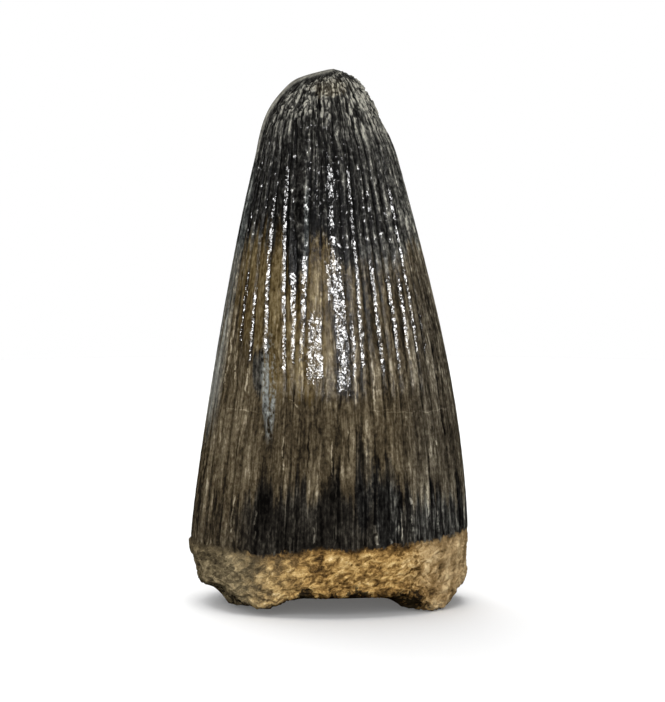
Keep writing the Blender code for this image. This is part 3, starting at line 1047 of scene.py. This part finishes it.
greyness = fossil.smooth(tip_dark + low_dark * 0.6 + dark_patches * 0.7 + knob_here, 0.1, 0.9)
greyness = greyness + fossil.smooth(x, *GREY_RIGHT_SPAN) * 0.35
enamel_colour = fossil.blend(fossil.ramp(tone, BROWNS), fossil.ramp(tone, GREYS), greyness)
amber_here = patches(AMBER_PATCHES) * (1.0 - dark_patches) + patches(TIP_AMBER_PATCHES)
enamel_colour = fossil.blend(enamel_colour, fossil.ramp(tone, AMBERS), amber_here)
# Painted reflection: a grey band down the crown's left edge, laid on with the slate colours.
left_rim_reflection = fossil.smooth(rib_across, *LEFT_EDGE_SPAN) * fossil.smooth(z + wander, *LEFT_EDGE_LOW_SPAN)
left_rim_reflection = left_rim_reflection * fossil.smooth(z, *LEFT_EDGE_HIGH_SPAN) * fossil.smooth(streak, 0.35, 0.6) * 0.6
slate_stain_and_rim_reflection = patches(SLATE_PATCHES) * fossil.smooth(specks + streak, 0.75, 1.15) + left_rim_reflection
enamel_colour = fossil.blend(enamel_colour, fossil.ramp(tone, SLATES), slate_stain_and_rim_reflection)
print("enamel: 4 ramps of", len(BROWNS), "or", len(SLATES), "colours")

# %% [markdown]
# The bare root is ochre and greyer at the left. Its fibres run like flames, cream on top and brown
# between. The chips along the rim are painted black inside as shadow. Plain cloudy noise would look
# like sand, so the cells are tilted, flattened and warped until they lick to one side like the fibres.

# %% Mix the root's colours
OCHRES = ((0.1, 0.028, 0.016, 0.006), (0.35, 0.17, 0.095, 0.03), (0.5, 0.35, 0.216, 0.073),
          (0.68, 0.55, 0.38, 0.155), (0.9, 0.78, 0.64, 0.4))
OLIVES = ((0.1, 0.02, 0.016, 0.01), (0.35, 0.085, 0.066, 0.038), (0.5, 0.16, 0.125, 0.07),
          (0.7, 0.3, 0.24, 0.14), (0.9, 0.5, 0.43, 0.28))
CREAMS = ((0.1, 0.05, 0.035, 0.02), (0.5, 0.3, 0.225, 0.125), (0.9, 0.75, 0.66, 0.48))
# The black of the painted shadow inside the chips.
CHIP_SHADOW_BLACK = colour(0.006, 0.005, 0.004)
FIBRE_TILT = math.radians(28.0)
LEFT_TO_RIGHT_SPAN = (-7.2, -0.6)
FAR_RIGHT_SPAN = (5.0, 9.4)
RIGHT_ROOT_SPAN = (2.0, 5.0)

grain_here = fossil.relief("grain")
tilted = fossil.node("ShaderNodeVectorRotate", {"rotation_type": "Y_AXIS"},
                     {"Vector": fossil.place, "Angle": FIBRE_TILT}).outputs[0]
flames = fossil.cloud(tilted, 0.7, tall=0.55, detail=4.0, roughness=0.58, warp=0.9, seed=12.0)
coarse_grain = fossil.cloud(fossil.place, 1.5, detail=3.0, seed=15.0)
strands = fossil.cloud(fossil.place, 1.0, tall=0.55, detail=2.0, roughness=0.5, warp=2.0, seed=17.0)
ridge = fossil.smooth(fossil.maths("ABSOLUTE", strands - 0.52), 0.045, 0.0)
gap = fossil.smooth(fossil.maths("ABSOLUTE", strands - 0.42), 0.035, 0.0)
root_tone = 0.435 + (flames - 0.5) * 1.4 + (specks - 0.5) * 0.3 + (coarse_grain - 0.5) * 1.0
root_tone = root_tone + ridge * 0.12 - gap * 0.03 + (grain_here - 0.5) * 0.06
above = fossil.relief("above_root")
root_tone = root_tone - fossil.smooth(above + (flames - 0.5) * 1.6, -0.7, 0.2) * 0.3
far_right = fossil.smooth(x + (coarse_grain + flames - 1.0) * 5.0, *FAR_RIGHT_SPAN)
root_tone = root_tone + far_right * (0.5 + (streak - 0.5) * 0.7 - root_tone) * 0.4
root_tone = root_tone - fossil.smooth(x, *RIGHT_ROOT_SPAN) * 0.04
rightwards = fossil.smooth(x + (coarse_grain + flames - 1.0) * 6.0, *LEFT_TO_RIGHT_SPAN)
root_tone = root_tone + (0.5 - root_tone) * (1.0 - rightwards) * 0.3
root_colour = fossil.blend(fossil.ramp(root_tone, OLIVES), fossil.ramp(root_tone, OCHRES), rightwards)
root_colour = fossil.blend(root_colour, fossil.ramp(root_tone + 0.16, CREAMS), far_right * 0.38)
# Painted shadow: the chips along the rim turn black inside.
chip_shadow_depth = fossil.relief("chip_shadow_mask")
chip_shadow_here = fossil.smooth(chip_shadow_depth + (flames + specks + bend - 1.5) * 2.4, 0.22, 0.5)
chip_shadow_here = chip_shadow_here * fossil.smooth(chip_shadow_depth, 0.0, 0.12)
root_colour = fossil.blend(root_colour, CHIP_SHADOW_BLACK, chip_shadow_here * 0.92)

edge_noise = fossil.cloud(fossil.place, 0.25, detail=2.0, seed=21.0)
enamel_here = fossil.smooth(above + (edge_noise - 0.5) * 0.5 + (fine_streak - 0.5) * 0.5, -0.15, 0.16)
surface_colour = fossil.blend(root_colour, enamel_colour, enamel_here)

# %% [markdown]
# The upper crown is polished. Its fine swellings, with hairline cracks between, throw back the light
# like hammered metal, mostly along the flanks of the ribs. The rest has worn dull. One shader with a
# changing roughness would leave a haze on the dull parts. Two shaders, one glossy and one without
# any reflection, share the colour and the bumps, and a Mix Shader chooses between them.

# %% Set the gloss and the fine bumps
DULL_SHEEN = 0.05
SWELL_HEIGHT = 0.125
SWELL_LOSS = 0.04
SWELL_LOSS_SPAN = (20.0, 24.0)
GLINT_SPAN = (0.78, 0.86)

glint_here = fossil.smooth(glint_flank + (dashes - 0.5) * 2.6 - tip_dark * 0.1, *GLINT_SPAN)
hammered = fossil.plates(rib_space, 0.46, tall=1.1, warp=1.1, seed=41.0)
swell = fossil.cloud(rib_space, 0.42, tall=1.1, detail=2.0, roughness=0.5, warp=0.8, seed=47.0)
swell_height = SWELL_HEIGHT - fossil.smooth(z, *SWELL_LOSS_SPAN) * SWELL_LOSS
gloss_bump = fossil.smooth(hammered, 0.0, 0.12) * 0.014 + swell * swell_height
dull_bump = fine_streak * 0.07 + streak * 0.06 + specks * 0.05
smoothness = glint_here + gloss_here * (1.0 - glint_here) * 0.3
enamel_bump = dull_bump + (gloss_bump - dull_bump) * smoothness
root_bump = flames * 0.22 + ridge * 0.02
bump_height = root_bump + (enamel_bump - root_bump) * enamel_here
bump = fossil.node("ShaderNodeBump", inputs={"Height": bump_height, "Distance": MM, "Strength": 1.0})

gloss_rough = 0.12 + (patchy - 0.5) * 0.08 + knob_here * 0.15
fossil.feed(fossil.shader.inputs["Roughness"], gloss_rough)
fossil.shader.inputs["IOR"].default_value = 1.5
dull_shader = fossil.node("ShaderNodeBsdfPrincipled")
dull_shader.inputs["Roughness"].default_value = 1.0
dull_shader.inputs["Specular IOR Level"].default_value = 0.0
for shader in (fossil.shader, dull_shader):
    fossil.feed(shader.inputs["Base Color"], surface_colour)
    fossil.feed(shader.inputs["Normal"], bump.outputs["Normal"])
sparkle = gloss_here * tip_dark * fossil.smooth(specks + dashes, 1.16, 1.28)
share = (glint_here + gloss_here * (1.0 - tip_dark * 0.65) * DULL_SHEEN + sparkle) * enamel_here
chooser = fossil.node("ShaderNodeMixShader", inputs={
    0: share, 1: dull_shader.outputs[0], 2: fossil.shader.outputs[0]})
fossil.feed(fossil.tree.nodes["Material Output"].inputs["Surface"], chooser.outputs[0])
tooth.data.materials.clear()
tooth.data.materials.append(fossil.material)
print("finish:", len(fossil.tree.nodes), "nodes")

# %% [markdown]
# The tooth stands on a plain white table in a white room. One large softbox would light both, but
# then the tooth's glints and the table's shadow couldn't be set apart. So some lights light only
# the tooth and some only the table. Two low softboxes in front give the long glints down the ribs,
# three others show its colours and one behind it its edges. Of the table's lights, the one high up
# behind the tooth gives the shadow at its feet.

# %% Lay the floor and hang the lights
FLOOR_RADIUS = 160 * MM
FLOOR_EDGES = 128
SOFTBOX_DISTANCE = 0.6
ROOM_LIGHT = 0.07
# Name, turn from the front towards the right, rise, width, height, radiance and what it shows.
TOOTH_LIGHTS = (
    ("key_softbox", 0.0, 15.0, 0.46, 0.14, 45.0, "glints"),
    ("upper_softbox", 0.0, 27.0, 0.46, 0.17, 20.0, "glints"),
    ("front_fill", 0.0, 28.0, 0.5, 0.4, 8.9, "colours"),
    ("left_fill", -80.0, 25.0, 0.4, 0.4, 4.5, "colours"),
    ("right_fill", 80.0, 25.0, 0.4, 0.4, 4.5, "colours"),
    ("back_softbox", 180.0, 30.0, 0.4, 0.3, 4.0, "both"),
)
# The same up to the radiance, and whether the tooth casts a shadow in it.
TABLE_LIGHTS = (
    ("table_softbox", -162.0, 55.0, 0.5, 1.6, 2.9, True),
    ("table_front", 0.0, 22.0, 0.8, 0.55, 1.8, True),
    ("table_left", -85.0, 35.0, 0.8, 0.55, 0.4, True),
    ("table_right", 85.0, 35.0, 0.8, 0.55, 0.2, True),
    ("table_fill", 0.0, 80.0, 0.4, 0.4, 1.45, False),
)


def add_floor():
    """A round white table top at the height of the tooth's feet."""
    bpy.ops.object.select_all(action="DESELECT")
    bpy.ops.mesh.primitive_circle_add(vertices=FLOOR_EDGES, radius=FLOOR_RADIUS, fill_type="NGON")
    floor = bpy.context.object
    floor.name = "floor"
    finish = Finish("floor_white")
    finish.shader.inputs["Base Color"].default_value = colour(0.9, 0.9, 0.9)
    finish.shader.inputs["Roughness"].default_value = 0.9
    floor.data.materials.append(finish.material)
    floor.visible_diffuse = False
    floor.visible_glossy = False
    return floor


def light_only(light, lit_piece, casts_shadows=True):
    """Black cards keep this light off everything but one piece."""
    lit = bpy.data.collections.new(light.name + "_lights")
    lit.objects.link(lit_piece)
    light.light_linking.receiver_collection = lit
    if not casts_shadows:
        light.light_linking.blocker_collection = lit


def add_softbox(name, turn, rise, width, tall, radiance):
    """A rectangular light aimed at the tooth's middle."""
    turn, rise = math.radians(turn), math.radians(rise)
    away = Vector((math.sin(turn) * math.cos(rise), -math.cos(turn) * math.cos(rise), math.sin(rise)))
    aim = Vector((0.0, 0.0, HEIGHT / 2.0))
    bpy.ops.object.select_all(action="DESELECT")
    bpy.ops.object.light_add(type="AREA", location=aim + SOFTBOX_DISTANCE * away)
    light = bpy.context.object
    light.name = name
    light.rotation_euler = (-away).to_track_quat("-Z", "Y").to_euler()
    light.data.shape = "RECTANGLE"
    light.data.size = width
    light.data.size_y = tall
    light.data.energy = math.pi * width * tall * radiance
    light.visible_camera = False
    return light


def light_room(brightness):
    """A white room: white to the camera, softer as a light."""
    world = bpy.data.worlds.new("white_room")
    bpy.context.scene.world = world
    world.use_nodes = True
    nodes, links = world.node_tree.nodes, world.node_tree.links
    background = nodes["Background"]
    seen = nodes.new("ShaderNodeLightPath")
    strength = nodes.new("ShaderNodeMapRange")
    strength.inputs["To Min"].default_value = brightness
    strength.inputs["To Max"].default_value = 1.0
    links.new(seen.outputs["Is Camera Ray"], strength.inputs["Value"])
    links.new(strength.outputs[0], background.inputs["Strength"])
    background.inputs["Color"].default_value = colour(1.0, 1.0, 1.0)


floor = add_floor()
for *box, shows in TOOTH_LIGHTS:
    light = add_softbox(*box)
    light.visible_diffuse = shows != "glints"
    light.visible_glossy = shows != "colours"
    light_only(light, tooth)
for *box, casts_shadows in TABLE_LIGHTS:
    light_only(add_softbox(*box), floor, casts_shadows)
light_room(ROOM_LIGHT)
bpy.context.scene.view_settings.view_transform = "Standard"
print(len(TOOTH_LIGHTS), "lights on the tooth and", len(TABLE_LIGHTS), "on the table")
